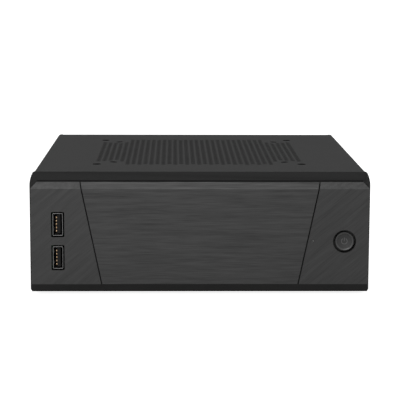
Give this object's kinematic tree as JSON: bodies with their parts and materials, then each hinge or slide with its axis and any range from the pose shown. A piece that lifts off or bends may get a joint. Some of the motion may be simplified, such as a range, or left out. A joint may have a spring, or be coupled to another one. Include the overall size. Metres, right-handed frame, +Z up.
{
  "type": "mini pc",
  "caption": "Low desktop mini PC with a perforated steel top cover, a brushed three-panel front, upright USB sockets and a round power button.",
  "frame": {"origin": "middle of the footprint, on the surface that the rubber feet stand on", "axes": "+Z up, the front face looks along -Y, +X is to the right when seen from the front"},
  "size_m": [0.2, 0.2, 0.0731],
  "materials": {
    "cover_steel": "fine black powder coat",
    "zinc_steel": "galvanised sheet",
    "shield_steel": "tin plated",
    "black_screw": "black zinc",
    "rubber_black": "matt",
    "bezel_plastic": "matt black ABS",
    "brushed_panel": "brushed dark grey",
    "button_plastic": "satin black",
    "white_plastic": "moulded",
    "spring_steel": "bright wire",
    "black_plastic": "moulded",
    "board_green": "solder mask",
    "board_dark": "solder mask",
    "clear_plastic": "clear",
    "gold_contact": "gold plated",
    "brass": "turned",
    "heatsink_aluminium": "extruded",
    "copper_winding": "enamelled copper",
    "ferrite": "sintered",
    "drive_case": "anodised",
    "cable_jacket": "soft sheath"
  },
  "bodies": {
    "chassis": {"top_cover": "cover_steel", "vent_grille": "cover_steel", "base_pan": "cover_steel", "chassis_front": "zinc_steel", "rear_panel": "zinc_steel", "io_shield": "shield_steel", "chassis_rivets": "zinc_steel", "cover_screws": "black_screw", "rubber_feet": "rubber_black", "front_bezel": "bezel_plastic", "centre_panel": "brushed_panel", "left_wing_panel": "brushed_panel", "right_wing_panel": "brushed_panel", "button_spring": "spring_steel", "power_switch": "black_plastic", "panel_board": "board_green", "panel_screws": "zinc_steel", "power_led": "clear_plastic", "light_pipe": "clear_plastic", "front_usb_shells": "shield_steel", "front_usb_insulators": "black_plastic", "front_usb_contacts": "gold_contact", "front_usb_board": "board_green", "front_usb_screws": "zinc_steel", "motherboard": "board_dark", "standoffs": "brass", "motherboard_screws": "zinc_steel", "cpu_socket": "black_plastic", "cpu": "shield_steel", "heatsink": "heatsink_aluminium", "push_pins": "white_plastic", "fan_frame": "black_plastic", "fan_stator": "copper_winding", "fan_screws": "black_screw", "memory_sockets": "black_plastic", "memory_modules": "board_green", "chipset_heatsink": "heatsink_aluminium", "expansion_slot": "black_plastic", "chokes": "ferrite", "capacitors": "heatsink_aluminium", "coin_cell": "shield_steel", "power_header": "white_plastic", "dc_converter": "board_dark", "sata_ports": "black_plastic", "pin_headers": "black_plastic", "audio_jacks": "black_plastic", "lan_usb_stack": "shield_steel", "rear_usb_stacks": "shield_steel", "video_ports": "shield_steel", "dc_jack": "black_plastic", "dc_jack_nut": "shield_steel", "drive_tray": "zinc_steel", "tray_screws": "zinc_steel", "solid_state_drive": "drive_case", "drive_screws": "zinc_steel", "leads": "cable_jacket"},
    "power_button": {"power_button": "button_plastic", "switch_plunger": "white_plastic"},
    "fan_rotor": {"fan_rotor": "black_plastic"}
  },
  "joints": [
    {"name": "power_button_press", "type": "slide", "parent": "chassis", "child": "power_button", "axis": [0, 1, 0], "range_m": [0, 0.0012], "stiffness_N_per_m": 900, "springref_m": -0.0008, "deforming": ["button_spring"]},
    {"name": "fan_spin", "type": "hinge", "parent": "chassis", "child": "fan_rotor", "pos_m": [0.008, 0.028, 0.05], "axis": [0, 0, 1], "continuous": true}
  ]
}
